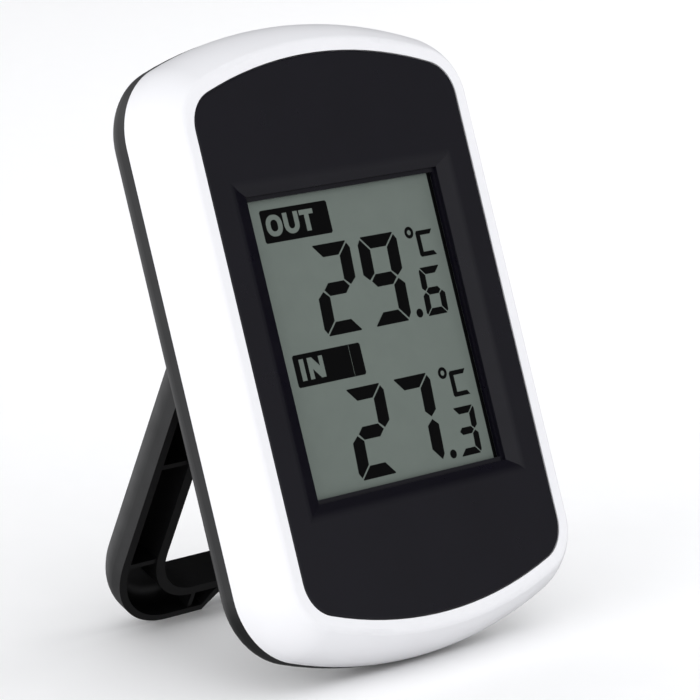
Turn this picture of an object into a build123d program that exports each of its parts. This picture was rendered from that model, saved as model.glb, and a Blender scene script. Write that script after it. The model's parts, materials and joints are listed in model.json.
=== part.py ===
"""Maximum and minimum thermometer: a small digital display unit on a fold-out leg.

Everything on the body is drawn on a plane parallel to its front face. On that plane X runs to the
right, Y runs up the body, and depth is counted backwards from the front face. The body leans back,
and the leg is drawn on a plane of its own through the hinge.
"""
from math import cos, radians, sin, sqrt
import os

from build123d import *

os.makedirs("parts", exist_ok=True)

# ---------------------------------------------------------------- driving dimensions (mm, degrees)
LEAN = 20.2                 # body leans back from the vertical
LEG_ANGLE = 43.85           # leg open from the back of the body
BODY_ORIGIN = (0, -10.935, 47.81)   # middle of the front face

PANEL_HALF_W = 26.2         # black fascia, and the outline that everything else follows
PANEL_HALF_H = 41.4
ARC_R = 70.3                # top and bottom edges of the fascia
CORNER_R = 5.6
SEAM_GROW = 5.6             # body outline beyond the fascia, at the seam
SEAM_DEPTH = 8.65
SIDE_R = 11.7               # bulge of the white side wall
FRAME_WALL = 1.9

BEVEL_HALF_W = 21.7         # sunk bevel round the window
BEVEL_HALF_H = 23.9
LIP_HALF_W = 19.15          # inner edge of the bevel
LIP_HALF_H = 22.25
LIP_DEPTH = 0.75
BEVEL_SOFTNESS = 3.0        # radius where the bevel meets the fascia
LEDGE_DEPTH = 1.3           # small step between the bevel and the display
LCD_HALF_W = 18.75          # opening over the display
LCD_HALF_H = 21.6
LCD_DEPTH = 2.0

BACK_DEPTH = 13.1           # flat back of the case, under the folded leg
HUMP_DEPTH = 19.8           # raised back over the cells
WALL = 1.8
BACK_EDGE_R = 2.9
HUMP_HALF_W = 26.0
HUMP_TOP = 41.5
HUMP_STEP = 6.2             # underside of the wide hump, where the leg stops
CORE_HALF_W = 17.0          # narrow hump between the leg's arms
CORE_BOTTOM = -21.5
CORE_WALL = 1.8

HINGE_Y = 2.35
HINGE_DEPTH = 16.4
PIN_R = 1.5

LEG_HALF_W = 26.0
LEG_OPENING_HALF_W = 17.4
LEG_LENGTH = 47.0           # hinge axis to foot
LEG_BAR = 5.2
LEG_RIM = 3.2               # rim of the channel, in front of the hinge axis
LEG_BACK = -3.4
LEG_EDGE_R = 4.7

BAY_HALF_W = 11.2           # cell compartment
BAY_BOTTOM = -19.7
BAY_TOP = 27.8
BAY_FLOOR = 7.7
BAY_WALL = 1.2
DOOR_SEAT = 18.3
DOOR_HALF_W = 12.6
DOOR_TOP = 29.3
TAB_REACH = 0.8
TAB_LENGTH = 8.0
TAB_BOTTOMS = (-8.0, 20.0)
DOOR_TRAVEL = 10.3

CELL_R = 5.2
CELL_X = 5.6
CELL_DEPTH = 13.0
CELL_LENGTH = 44.5
NUB_LENGTH = 0.8
CONTACT = 0.4

PLATE_FRONT = 1.5           # plate of the frame, behind the fascia
PLATE_BACK = 2.6
HOLDER_BACK = 5.6
BOARD_FRONT = 7.4
BOARD_BACK = 8.4

BUTTON_XS = (-10.0, 0.0, 10.0)
BUTTON_NAMES = ("max_min_button", "reset_button", "unit_button")
BUTTON_Y = -30.5
BUTTON_R = 3.05
BUTTON_PROUD = 1.0

UPPER_SCREW = (20.2, 34.0)
LOWER_SCREW = (24.6, -35.6)
SCREW_R = 1.1
SCREW_HEAD_R = 1.9
BOARD_SCREWS = ((23.2, -29.6), (15.5, -37.2))
STAKES = (21.0, 21.5)

lean_sin, lean_cos = sin(radians(LEAN)), cos(radians(LEAN))
UP_BODY = Vector(0, lean_sin, lean_cos)
BACKWARD = Vector(0, lean_cos, -lean_sin)
FACE = Plane(origin=BODY_ORIGIN, x_dir=(1, 0, 0), z_dir=-BACKWARD)
DEEPER = Axis(BODY_ORIGIN, BACKWARD)
UPWARD = Axis(BODY_ORIGIN, UP_BODY)
INNER = LCD_DEPTH + 0.2     # front face of the display glass


def at(depth):
    """Plane parallel to the front face, this far behind it."""
    return FACE.offset(-depth)


def across(x, y=0.0, depth=0.0):
    """Plane facing along X through a point of the body: its X runs up the body, its Y forward."""
    return Plane(origin=FACE.from_local_coords((x, y, -depth)), x_dir=UP_BODY, z_dir=(1, 0, 0))


def upward(x, y, depth):
    """Plane facing up the body, through a point of it: its X runs left and its Y forwards."""
    point = FACE.from_local_coords((x, y, -depth))
    return Plane(origin=point, x_dir=(-1, 0, 0), z_dir=UP_BODY)


def finish(piece, name):
    """Label a finished piece and write it out."""
    piece.part.label = name
    export_step(piece.part, f"parts/{name}.step")


def outline(depth, grow):
    """Body outline, grown outwards from the edge of the fascia."""
    with BuildSketch(at(depth)) as shape:
        Rectangle(2 * (PANEL_HALF_W + grow), 2 * (PANEL_HALF_H + grow))
        with Locations((0, PANEL_HALF_H - ARC_R)):
            Circle(ARC_R + grow, mode=Mode.INTERSECT)
        with Locations((0, ARC_R - PANEL_HALF_H)):
            Circle(ARC_R + grow, mode=Mode.INTERSECT)
        fillet(shape.vertices(), CORNER_R + grow)
    return shape.sketch


def block(half_w, bottom, top, front, back, x=0.0):
    """Solid box, given by its half width, its ends up the body and its two depths."""
    with BuildPart() as box:
        with BuildSketch(at(front)):
            with Locations((x, (bottom + top) / 2)):
                Rectangle(2 * half_w, top - bottom)
        extrude(amount=front - back)
    return box.part


def pegs(points, radius, front, back):
    """Round pegs or holes along the depth, mirrored left and right."""
    with BuildPart() as group:
        with BuildSketch(at(front)):
            with Locations([(side * x, y) for x, y in points for side in (-1, 1)]):
                Circle(radius)
        extrude(amount=front - back)
    return group.part


# ---------------------------------------------------------------- front frame: the white surround
def corner_centre():
    """Centre of the outline's top right corner arc."""
    rise = sqrt((ARC_R - CORNER_R) ** 2 - (PANEL_HALF_W - CORNER_R) ** 2)
    return PANEL_HALF_W - CORNER_R, PANEL_HALF_H - ARC_R + rise


def frame_ring():
    """White side wall: its curved section carried round the outline of the fascia."""
    corner_x, corner_y = corner_centre()
    turn = Vector(corner_x, corner_y + ARC_R - PANEL_HALF_H).get_angle(Vector(1, 0))
    with BuildLine(FACE) as path:
        Line((PANEL_HALF_W, 0), (PANEL_HALF_W, corner_y))
        CenterArc((corner_x, corner_y), CORNER_R, 0, turn)
        CenterArc((0, PANEL_HALF_H - ARC_R), ARC_R, turn, 180 - 2 * turn)
        CenterArc((-corner_x, corner_y), CORNER_R, 180 - turn, turn)
        Line((-PANEL_HALF_W, corner_y), (-PANEL_HALF_W, -corner_y))
        CenterArc((-corner_x, -corner_y), CORNER_R, 180, turn)
        CenterArc((0, ARC_R - PANEL_HALF_H), ARC_R, 180 + turn, 180 - 2 * turn)
        CenterArc((corner_x, -corner_y), CORNER_R, 360 - turn, turn)
        Line((PANEL_HALF_W, -corner_y), (PANEL_HALF_W, 0))
    section_plane = Plane(
        origin=FACE.from_local_coords((PANEL_HALF_W, 0, 0)),
        x_dir=(1, 0, 0),
        z_dir=Vector(1, 0, 0).cross(BACKWARD),
    )
    diagonal = sqrt(0.5)
    centre = SEAM_GROW - SIDE_R
    shoulder = (centre + SIDE_R * diagonal, SEAM_DEPTH - SIDE_R * diagonal)
    edge_r = shoulder[1] / (1 - diagonal)
    crown = (shoulder[0] - edge_r * diagonal, 0)
    inner_r = SIDE_R - FRAME_WALL
    inner_start = centre + sqrt(inner_r**2 - (SEAM_DEPTH - PLATE_BACK) ** 2)
    middle = radians(22.5)
    with BuildSketch(section_plane) as section:
        with BuildLine():
            Line((0, PLATE_FRONT), (0, 0))
            Line((0, 0), crown)
            ThreePointArc(
                crown,
                (crown[0] + edge_r * sin(middle), edge_r * (1 - cos(middle))),
                shoulder,
            )
            ThreePointArc(
                shoulder,
                (centre + SIDE_R * cos(middle), SEAM_DEPTH - SIDE_R * sin(middle)),
                (SEAM_GROW, SEAM_DEPTH),
            )
            Line((SEAM_GROW, SEAM_DEPTH), (SEAM_GROW - FRAME_WALL, SEAM_DEPTH))
            ThreePointArc(
                (SEAM_GROW - FRAME_WALL, SEAM_DEPTH),
                (centre + inner_r * cos(middle * 0.8), SEAM_DEPTH - inner_r * sin(middle * 0.8)),
                (inner_start, PLATE_BACK),
            )
            Polyline(
                (inner_start, PLATE_BACK),
                (-FRAME_WALL, PLATE_BACK),
                (-FRAME_WALL, PLATE_FRONT),
                (0, PLATE_FRONT),
            )
        make_face()
    with BuildPart() as ring:
        sweep(sections=section.sketch, path=path.wires()[0])
    return ring.part


POST_END = 7.9
ring = frame_ring()
plate = outline(PLATE_FRONT, -FRAME_WALL / 2)
window = block(19.8, -25.2, 23.2, 0, PLATE_BACK)
case_posts = pegs((UPPER_SCREW, LOWER_SCREW), 2.5, PLATE_FRONT, POST_END)
case_pilots = pegs((UPPER_SCREW, LOWER_SCREW), SCREW_R, 3.4, POST_END)
board_posts = pegs(BOARD_SCREWS, 1.8, PLATE_FRONT, BOARD_FRONT)
board_pilots = pegs(BOARD_SCREWS, 0.8, 4.0, BOARD_FRONT)
stake_points = (STAKES, (STAKES[0], -STAKES[1]))
stakes = pegs(stake_points, 0.8, PLATE_FRONT, HOLDER_BACK + 0.1)
stake_heads = pegs(stake_points, 1.4, HOLDER_BACK, HOLDER_BACK + 0.5)
with BuildPart() as front_frame:
    add(ring)
    extrude(plate, amount=PLATE_FRONT - PLATE_BACK)
    add(window, mode=Mode.SUBTRACT)
    add(case_posts)
    add(board_posts)
    add(stakes)
    add(stake_heads)
    add(case_pilots, mode=Mode.SUBTRACT)
    add(board_pilots, mode=Mode.SUBTRACT)
finish(front_frame, "front_frame")

# ---------------------------------------------------------------- front panel: the black fascia
PANEL_BACK = LCD_DEPTH - 0.05
fascia = outline(0, -0.1)


def dished_channel(plane, half_length, rim, lip):
    """Straight channel into the fascia, with sloping sides that meet its front in a soft curve."""
    with BuildPart() as channel:
        with BuildSketch(plane) as section:
            with BuildLine():
                Polyline(
                    (-rim - 1, -1),
                    (-rim - 1, 0),
                    (-rim, 0),
                    (-lip, LIP_DEPTH),
                    (lip, LIP_DEPTH),
                    (rim, 0),
                    (rim + 1, 0),
                    (rim + 1, -1),
                    close=True,
                )
            make_face()
            rims = [v for v in section.vertices() if abs(v.Y) < 0.01 and abs(abs(v.X) - rim) < 0.01]
            fillet(rims, BEVEL_SOFTNESS)
        extrude(amount=half_length, both=True)
    return channel.part


down_the_window = dished_channel(
    Plane(origin=BODY_ORIGIN, x_dir=(1, 0, 0), z_dir=UP_BODY), BEVEL_HALF_H + 1, BEVEL_HALF_W, LIP_HALF_W
)
over_the_window = dished_channel(
    Plane(origin=BODY_ORIGIN, x_dir=UP_BODY, z_dir=(-1, 0, 0)), BEVEL_HALF_W + 1, BEVEL_HALF_H, LIP_HALF_H
)
with BuildPart() as bevel:
    add(down_the_window)
    add(over_the_window, mode=Mode.INTERSECT)
with BuildPart() as front_panel:
    extrude(fascia, amount=-PLATE_FRONT)
    fillet(front_panel.faces().sort_by(DEEPER)[0].edges(), 0.3)
    add(block(19.6, -22.9, 22.9, PLATE_FRONT, PANEL_BACK))
    add(bevel.part, mode=Mode.SUBTRACT)
    add(block(LIP_HALF_W, -LIP_HALF_H, LIP_HALF_H, 0, LEDGE_DEPTH), mode=Mode.SUBTRACT)
    add(block(LCD_HALF_W, -LCD_HALF_H, LCD_HALF_H, 0, PANEL_BACK), mode=Mode.SUBTRACT)
finish(front_panel, "front_panel")

# ---------------------------------------------------------------- display: films, glasses, connector
GLASS = 0.9
FILM = 0.2
GLASS_TOP = 22.6
GLASS_HALF_W = 19.2
LEDGE_BOTTOM = -24.9        # front glass carries the contacts below the rear glass
REAR_GLASS_BOTTOM = -21.9
with BuildPart() as front_polariser:
    add(block(18.9, -22.3, 22.3, LCD_DEPTH, INNER))
finish(front_polariser, "front_polariser")

with BuildPart() as front_glass:
    add(block(GLASS_HALF_W, LEDGE_BOTTOM, GLASS_TOP, INNER, INNER + GLASS))
finish(front_glass, "front_glass")

with BuildPart() as rear_glass:
    add(block(GLASS_HALF_W, REAR_GLASS_BOTTOM, GLASS_TOP, INNER + GLASS, INNER + 2 * GLASS))
finish(rear_glass, "rear_glass")

REFLECTOR_BACK = INNER + 2 * GLASS + FILM
with BuildPart() as display_reflector:
    add(block(18.9, -21.6, 22.3, INNER + 2 * GLASS, REFLECTOR_BACK))
finish(display_reflector, "display_reflector")

ZEBRA_BOTTOM, ZEBRA_TOP = -24.4, -22.6
with BuildPart() as zebra_connector:
    add(block(16.5, ZEBRA_BOTTOM, ZEBRA_TOP, INNER + GLASS, BOARD_FRONT))
finish(zebra_connector, "zebra_connector")

holder_pocket = block(GLASS_HALF_W + 0.1, LEDGE_BOTTOM - 0.1, GLASS_TOP + 0.1, PLATE_BACK, REFLECTOR_BACK)
holder_window = block(16.0, -19.5, 19.5, PLATE_BACK, HOLDER_BACK)
zebra_slot = block(16.6, ZEBRA_BOTTOM - 0.1, ZEBRA_TOP + 0.1, PLATE_BACK, HOLDER_BACK)
stake_holes = pegs(stake_points, 0.85, PLATE_BACK, HOLDER_BACK)
with BuildPart() as display_holder:
    with BuildSketch(at(PLATE_BACK)):
        with Locations((0, -1)):
            RectangleRounded(2 * 22.4, 52.6, 1.5)
    extrude(amount=PLATE_BACK - HOLDER_BACK)
    add(holder_pocket, mode=Mode.SUBTRACT)
    add(holder_window, mode=Mode.SUBTRACT)
    add(zebra_slot, mode=Mode.SUBTRACT)
    add(stake_holes, mode=Mode.SUBTRACT)
finish(display_holder, "display_holder")

# ---------------------------------------------------------------- main board and what is on it
BOARD_TOP = -21.9
BOARD_WAIST = -31.2
BOARD_BOTTOM = -39.6
board_holes = pegs(BOARD_SCREWS, 0.9, BOARD_FRONT, BOARD_BACK)
with BuildPart() as main_board:
    with BuildSketch(at(BOARD_FRONT)):
        with Locations((0, (BOARD_TOP + BOARD_WAIST) / 2)):
            Rectangle(2 * 25.4, BOARD_TOP - BOARD_WAIST)
        with Locations((0, (BOARD_TOP + BOARD_BOTTOM) / 2)):
            Rectangle(2 * 20.0, BOARD_TOP - BOARD_BOTTOM)
    extrude(amount=BOARD_FRONT - BOARD_BACK)
    add(board_holes, mode=Mode.SUBTRACT)
finish(main_board, "main_board")

board_heads = pegs(BOARD_SCREWS, 1.6, BOARD_BACK, BOARD_BACK + 1.1)
board_shanks = pegs(BOARD_SCREWS, 0.8, 4.4, BOARD_BACK)
with BuildPart() as board_screws:
    add(board_heads)
    add(board_shanks)
    for side_x, screw_y in [(side * x, y) for x, y in BOARD_SCREWS for side in (-1, 1)]:
        with BuildSketch(at(BOARD_BACK + 1.1)):
            with Locations((side_x, screw_y)):
                Rectangle(1.9, 0.35)
                Rectangle(0.35, 1.9)
        extrude(amount=0.6, mode=Mode.SUBTRACT)
finish(board_screws, "board_screws")

BLOB_R = 4.5
BLOB_HEIGHT = 1.5
blob_sphere_r = (BLOB_R**2 + BLOB_HEIGHT**2) / (2 * BLOB_HEIGHT)
with BuildPart() as chip_blob:
    with BuildSketch(across(-2, -33.5, BOARD_FRONT)) as blob_section:
        with Locations((0, BLOB_HEIGHT - blob_sphere_r)):
            Circle(blob_sphere_r)
        with Locations((BLOB_R / 2, BLOB_HEIGHT / 2)):
            Rectangle(BLOB_R, BLOB_HEIGHT, mode=Mode.INTERSECT)
    revolve(axis=Axis(FACE.from_local_coords((-2, -33.5, -BOARD_FRONT)), BACKWARD))
finish(chip_blob, "chip_blob")

CAPACITOR_R = 2.0
with BuildPart() as capacitor:
    with BuildSketch(across(9.0, -32.0, BOARD_FRONT - CAPACITOR_R)):
        Circle(CAPACITOR_R)
    extrude(amount=6.5)
    fillet(capacitor.edges().filter_by(GeomType.CIRCLE), 0.3)
finish(capacitor, "capacitor")

CRYSTAL_R = 1.0
with BuildPart() as quartz_crystal:
    with BuildSketch(across(14.5, -26.0, BOARD_BACK + CRYSTAL_R)):
        Circle(CRYSTAL_R)
    extrude(amount=6.0)
    fillet(quartz_crystal.edges().filter_by(GeomType.CIRCLE), 0.25)
finish(quartz_crystal, "quartz_crystal")

with BuildPart() as chip_resistors:
    with BuildSketch(at(BOARD_BACK)):
        with Locations((16.8, -33.0)):
            with GridLocations(2.6, 1.7, 2, 3):
                Rectangle(1.6, 0.8)
    extrude(amount=-0.5)
finish(chip_resistors, "chip_resistors")

RECEIVER_FRONT = 9.5
RECEIVER_BACK = 10.3
with BuildPart() as receiver_header:
    add(block(0.9, -34.0, -25.0, BOARD_BACK, RECEIVER_FRONT, x=-15.4))
finish(receiver_header, "receiver_header")

with BuildPart() as receiver_board:
    add(block(3.6, -35.0, -24.0, RECEIVER_FRONT, RECEIVER_BACK, x=-17.9))
    add(block(1.6, -32.0, -28.8, RECEIVER_BACK, RECEIVER_BACK + 0.7, x=-17.6))
finish(receiver_board, "receiver_board")


def bent_wire(name, points, radii, radius):
    """Round wire along straight runs joined by tangent arcs."""
    places = [FACE.from_local_coords((x, y, -depth)) for x, y, depth in points]
    with BuildLine() as route:
        FilletPolyline(*places, radius=radii)
    start = route.wires()[0]
    with BuildPart() as wire:
        with BuildSketch(Plane(origin=start @ 0, z_dir=start % 0)):
            Circle(radius)
        sweep(path=start)
    finish(wire, name)


ANTENNA_DEPTH = (RECEIVER_FRONT + RECEIVER_BACK) / 2
antenna_points = [
    (-19.5, -24.0, ANTENNA_DEPTH),
    (-19.8, -15.5, ANTENNA_DEPTH),
    (-26.2, -4.0, ANTENNA_DEPTH),
    (-26.6, 20.0, ANTENNA_DEPTH),
    (-26.4, 36.6, ANTENNA_DEPTH),
    (-14.0, 41.2, ANTENNA_DEPTH),
]
bent_wire("antenna_wire", antenna_points, (8.0, 10.0, 12.0, 4.5), 0.4)

BEAD = (4.0, -36.4, 10.1)
with BuildPart() as thermistor:
    for lead_x in (BEAD[0] - 0.7, BEAD[0] + 0.7):
        with BuildSketch(at(BOARD_BACK)):
            with Locations((lead_x, BEAD[1])):
                Circle(0.2)
        extrude(amount=BOARD_BACK - BEAD[2])
    with Locations(FACE.from_local_coords((BEAD[0], BEAD[1], -BEAD[2]))):
        Sphere(1.1)
finish(thermistor, "thermistor")

SWITCH_BACK = 9.8
PLUNGER_R = 1.0
with BuildPart() as switch_bases:
    with BuildSketch(at(BOARD_BACK)):
        with Locations([(x, BUTTON_Y) for x in BUTTON_XS]):
            RectangleRounded(4.6, 4.6, 0.4)
    extrude(amount=BOARD_BACK - SWITCH_BACK)
    with BuildSketch(at(SWITCH_BACK)):
        with Locations([(x, BUTTON_Y) for x in BUTTON_XS]):
            Circle(PLUNGER_R + 0.1)
    extrude(amount=1.1, mode=Mode.SUBTRACT)
finish(switch_bases, "switch_bases")

# ---------------------------------------------------------------- buttons, pressed from the back
BUTTON_FOOT = 10.2
INSIDE_BACK = BACK_DEPTH - WALL
for button_name, button_x in zip(BUTTON_NAMES, BUTTON_XS):
    with BuildPart() as button:
        with BuildSketch(at(BUTTON_FOOT)):
            with Locations((button_x, BUTTON_Y)):
                Circle(BUTTON_R + 0.85)
        extrude(amount=BUTTON_FOOT - INSIDE_BACK + 0.05)
        with BuildSketch(at(BUTTON_FOOT)):
            with Locations((button_x, BUTTON_Y)):
                Circle(BUTTON_R)
        extrude(amount=BUTTON_FOOT - BACK_DEPTH - BUTTON_PROUD)
        fillet(button.faces().sort_by(DEEPER)[-1].edges(), 0.5)
    finish(button, button_name)
    with BuildPart() as plunger:
        with BuildSketch(at(SWITCH_BACK - 0.6)):
            with Locations((button_x, BUTTON_Y)):
                Circle(PLUNGER_R)
        extrude(amount=SWITCH_BACK - 0.6 - BUTTON_FOOT)
    finish(plunger, button_name.replace("button", "plunger"))

# ---------------------------------------------------------------- rear case: the black back shell
HUMP_EDGE_R = 3.0
BOSS_R = 3.3
UPPER_HEAD_SEAT = 16.0
LOWER_HEAD_SEAT = 11.4
LIP_FRONT = 7.2


def hump(grow, back, edge_r):
    """Wide upper hump: straight sides and an arched top, with rounded back edges."""
    with BuildPart() as block_part:
        with BuildSketch(at(INSIDE_BACK)) as shape:
            with Locations((0, (HUMP_TOP + HUMP_STEP) / 2)):
                Rectangle(2 * (HUMP_HALF_W + grow), HUMP_TOP - HUMP_STEP + 2 * grow)
            with Locations((0, HUMP_TOP - ARC_R)):
                Circle(ARC_R + grow, mode=Mode.INTERSECT)
            fillet(shape.vertices().group_by(Axis.Y)[-1], 6.0 + grow)
        extrude(amount=INSIDE_BACK - back)
        rim = block_part.faces().sort_by(DEEPER)[-1].edges().sort_by(UPWARD)[1:]
        fillet(rim, edge_r)
    return block_part.part


def shell_solid():
    """Outside of the rear case, before it is hollowed."""
    base = outline(SEAM_DEPTH, SEAM_GROW)
    with BuildPart() as solid:
        extrude(base, amount=SEAM_DEPTH - BACK_DEPTH)
        fillet(solid.faces().sort_by(DEEPER)[-1].edges(), BACK_EDGE_R)
    return solid.part


def shell_hollow():
    """Inside of the low part of the rear case."""
    base = outline(SEAM_DEPTH, SEAM_GROW - WALL)
    with BuildPart() as hollow:
        extrude(base, amount=SEAM_DEPTH - INSIDE_BACK)
        fillet(hollow.faces().sort_by(DEEPER)[-1].edges(), 1.2)
    return hollow.part


def keyhole():
    """Round entry hole and the slot above it, cut through the back of the hump."""
    with BuildPart() as cut:
        with BuildSketch(at(HUMP_DEPTH - WALL)):
            with Locations((0, KEYHOLE_Y)):
                Circle(KEYHOLE_R)
            with Locations((0, KEYHOLE_Y + 1.8)):
                Rectangle(3.2, 3.6)
            with Locations((0, KEYHOLE_Y + 3.6)):
                Circle(1.6)
        extrude(amount=-WALL)
    return cut.part


def hinge_bores():
    """Sockets in the walls of the narrow hump for the leg's pins."""
    with BuildPart() as bores:
        with BuildSketch(across(-CORE_HALF_W, HINGE_Y, HINGE_DEPTH)):
            Circle(PIN_R + 0.05)
        extrude(amount=CORE_WALL)
        with BuildSketch(across(CORE_HALF_W - CORE_WALL, HINGE_Y, HINGE_DEPTH)):
            Circle(PIN_R + 0.05)
        extrude(amount=CORE_WALL)
    return bores.part


def door_recess():
    """Seat of the battery door, with pockets for its tabs."""
    with BuildPart() as recess:
        add(block(DOOR_HALF_W + 0.2, CORE_BOTTOM, DOOR_TOP + 0.2, DOOR_SEAT, HUMP_DEPTH))
        for tab in TAB_BOTTOMS:
            reach = DOOR_HALF_W + TAB_REACH + 0.2
            entry = tab - DOOR_TRAVEL - 0.2
            add(block(reach, entry, tab + TAB_LENGTH + 0.2, DOOR_SEAT, TAB_ROOF))
            add(block(reach, entry, tab - 0.2, DOOR_SEAT, HUMP_DEPTH))
    return recess.part


def button_holes_and_vents():
    """Holes through the flat back for the buttons, and the row of air slots to the sensor."""
    with BuildPart() as cuts:
        with BuildSketch(at(INSIDE_BACK)):
            with Locations([(x, BUTTON_Y) for x in BUTTON_XS]):
                Circle(BUTTON_R + 0.1)
            with Locations((0, BEAD[1])):
                with GridLocations(2.6, 0, 7, 1):
                    SlotOverall(4.4, 1.1, rotation=90)
        extrude(amount=-WALL)
    return cuts.part


KEYHOLE_Y = 33.0
KEYHOLE_R = 2.8
TAB_ROOF = 19.1
shell_outside = shell_solid()
shell_inside = shell_hollow()
hump_outside = hump(0, HUMP_DEPTH, HUMP_EDGE_R)
hump_inside = hump(-WALL, HUMP_DEPTH - WALL, HUMP_EDGE_R - WALL)
core_outside = block(CORE_HALF_W, CORE_BOTTOM, HUMP_STEP + 2, INSIDE_BACK, HUMP_DEPTH)
core_inside = block(
    CORE_HALF_W - CORE_WALL, BAY_BOTTOM, HUMP_STEP + 4, INSIDE_BACK - WALL, HUMP_DEPTH - WALL
)
bay_outside = block(BAY_HALF_W + BAY_WALL, CORE_BOTTOM, BAY_TOP + 1.3, BAY_FLOOR - 1.1, HUMP_DEPTH)
door_rails = block(DOOR_HALF_W + TAB_REACH + 1.0, CORE_BOTTOM, DOOR_TOP + 1.6, DOOR_SEAT - 1.3, HUMP_DEPTH)
bay_inside = block(BAY_HALF_W, BAY_BOTTOM, BAY_TOP, BAY_FLOOR, HUMP_DEPTH)
keyhole_box = block(5.4, DOOR_TOP, 39.4, 13.4, HUMP_DEPTH - WALL)
keyhole_room = block(4.4, DOOR_TOP + 0.9, 38.4, 14.4, HUMP_DEPTH - WALL)
keyhole_cut = keyhole()
upper_bosses = pegs((UPPER_SCREW,), BOSS_R, POST_END + 0.1, HUMP_DEPTH - WALL)
lower_bosses = pegs((LOWER_SCREW,), 2.6, POST_END + 0.1, INSIDE_BACK + 0.1)
screw_holes = pegs((UPPER_SCREW, LOWER_SCREW), SCREW_R + 0.1, POST_END, HUMP_DEPTH)
upper_wells = pegs((UPPER_SCREW,), SCREW_HEAD_R + 0.3, UPPER_HEAD_SEAT, HUMP_DEPTH)
lower_wells = pegs((LOWER_SCREW,), SCREW_HEAD_R + 0.3, LOWER_HEAD_SEAT, BACK_DEPTH)
lip_outer = outline(LIP_FRONT, SEAM_GROW - WALL - 0.4)
lip_inner = outline(LIP_FRONT, SEAM_GROW - WALL - 1.5)
lip_root = outline(SEAM_DEPTH, SEAM_GROW - WALL + 0.2)
sockets = hinge_bores()
recess = door_recess()
back_cuts = button_holes_and_vents()
LIP_BACK = 10.0
with BuildPart() as lip:
    extrude(lip_outer, amount=LIP_FRONT - LIP_BACK)
    extrude(lip_root, amount=SEAM_DEPTH - LIP_BACK)
    extrude(lip_inner, amount=LIP_FRONT - LIP_BACK, mode=Mode.SUBTRACT)

with BuildPart() as rear_case:
    add(shell_outside)
    add(hump_outside)
    add(core_outside)
    add(shell_inside, mode=Mode.SUBTRACT)
    add(hump_inside, mode=Mode.SUBTRACT)
    add(core_inside, mode=Mode.SUBTRACT)
    add(lip.part)
    add(bay_outside)
    add(door_rails)
    add(keyhole_box)
    add(upper_bosses)
    add(lower_bosses)
    add(bay_inside, mode=Mode.SUBTRACT)
    add(recess, mode=Mode.SUBTRACT)
    add(keyhole_room, mode=Mode.SUBTRACT)
    add(keyhole_cut, mode=Mode.SUBTRACT)
    add(screw_holes, mode=Mode.SUBTRACT)
    add(upper_wells, mode=Mode.SUBTRACT)
    add(lower_wells, mode=Mode.SUBTRACT)
    add(sockets, mode=Mode.SUBTRACT)
    add(back_cuts, mode=Mode.SUBTRACT)
    for tail_x in (-CELL_X, CELL_X):
        with BuildSketch(at(BAY_FLOOR - 1.1)):
            with Locations((tail_x, BAY_TOP - 0.3)):
                Rectangle(2.4, 0.6)
        extrude(amount=-1.1, mode=Mode.SUBTRACT)
finish(rear_case, "rear_case")


def case_screws(name, point, seat, tip):
    """A pair of cross-head screws, seated in the rear case and driven into the frame's posts."""
    head_back = seat + 1.4
    with BuildPart() as screws:
        add(pegs((point,), SCREW_HEAD_R, seat, head_back))
        fillet(screws.faces().group_by(DEEPER)[-1].edges(), 0.5)
        add(pegs((point,), SCREW_R, tip, seat))
        with BuildSketch(at(head_back)):
            with Locations([(side * point[0], point[1]) for side in (-1, 1)]):
                Rectangle(2.2, 0.45)
                Rectangle(0.45, 2.2)
        extrude(amount=0.8, mode=Mode.SUBTRACT)
    finish(screws, name)


case_screws("upper_case_screws", UPPER_SCREW, UPPER_HEAD_SEAT, 4.0)
case_screws("lower_case_screws", LOWER_SCREW, LOWER_HEAD_SEAT, 3.6)

# ---------------------------------------------------------------- battery door
DOOR_INSIDE = DOOR_SEAT + 0.1
with BuildPart() as battery_door:
    add(block(DOOR_HALF_W, CORE_BOTTOM, DOOR_TOP, DOOR_INSIDE, HUMP_DEPTH))
    for tab_bottom in TAB_BOTTOMS:
        tab_reach = DOOR_HALF_W + TAB_REACH
        add(block(tab_reach, tab_bottom, tab_bottom + TAB_LENGTH, DOOR_INSIDE, TAB_ROOF - 0.1))
    with BuildSketch(at(HUMP_DEPTH)):
        with Locations((0, CORE_BOTTOM + 7.5)):
            with GridLocations(0, 1.8, 1, 5):
                SlotOverall(12.0, 0.9)
    extrude(amount=0.5, mode=Mode.SUBTRACT)
finish(battery_door, "battery_door")

# ---------------------------------------------------------------- cells and their contacts
cell_span = (BAY_BOTTOM + CONTACT, BAY_TOP - CONTACT)
for cell_name, cell_x, nub_up in (("left_cell", -CELL_X, False), ("right_cell", CELL_X, True)):
    foot = cell_span[1] - CELL_LENGTH if nub_up else cell_span[0] + NUB_LENGTH
    nub_foot = foot + CELL_LENGTH - NUB_LENGTH if nub_up else cell_span[0]
    with BuildPart() as cell:
        with BuildSketch(upward(cell_x, foot, CELL_DEPTH)):
            Circle(CELL_R)
        extrude(amount=CELL_LENGTH - NUB_LENGTH)
        fillet(cell.edges().filter_by(GeomType.CIRCLE), 0.4)
        with BuildSketch(upward(cell_x, nub_foot, CELL_DEPTH)):
            Circle(1.9)
        extrude(amount=NUB_LENGTH)
    finish(cell, cell_name)


def coil_spring(x, y, height):
    """Low compression spring standing on a contact plate."""
    wire_r = 0.3
    base = upward(x, y, CELL_DEPTH)
    turn = Helix(pitch=0.8, height=height - 2 * wire_r, radius=2.9)
    route = base.offset(wire_r - 0.05) * turn
    with BuildPart() as spring:
        with BuildSketch(Plane(origin=route @ 0, z_dir=route % 0)):
            Circle(wire_r)
        sweep(path=route, is_frenet=True)
    return spring.part


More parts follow.
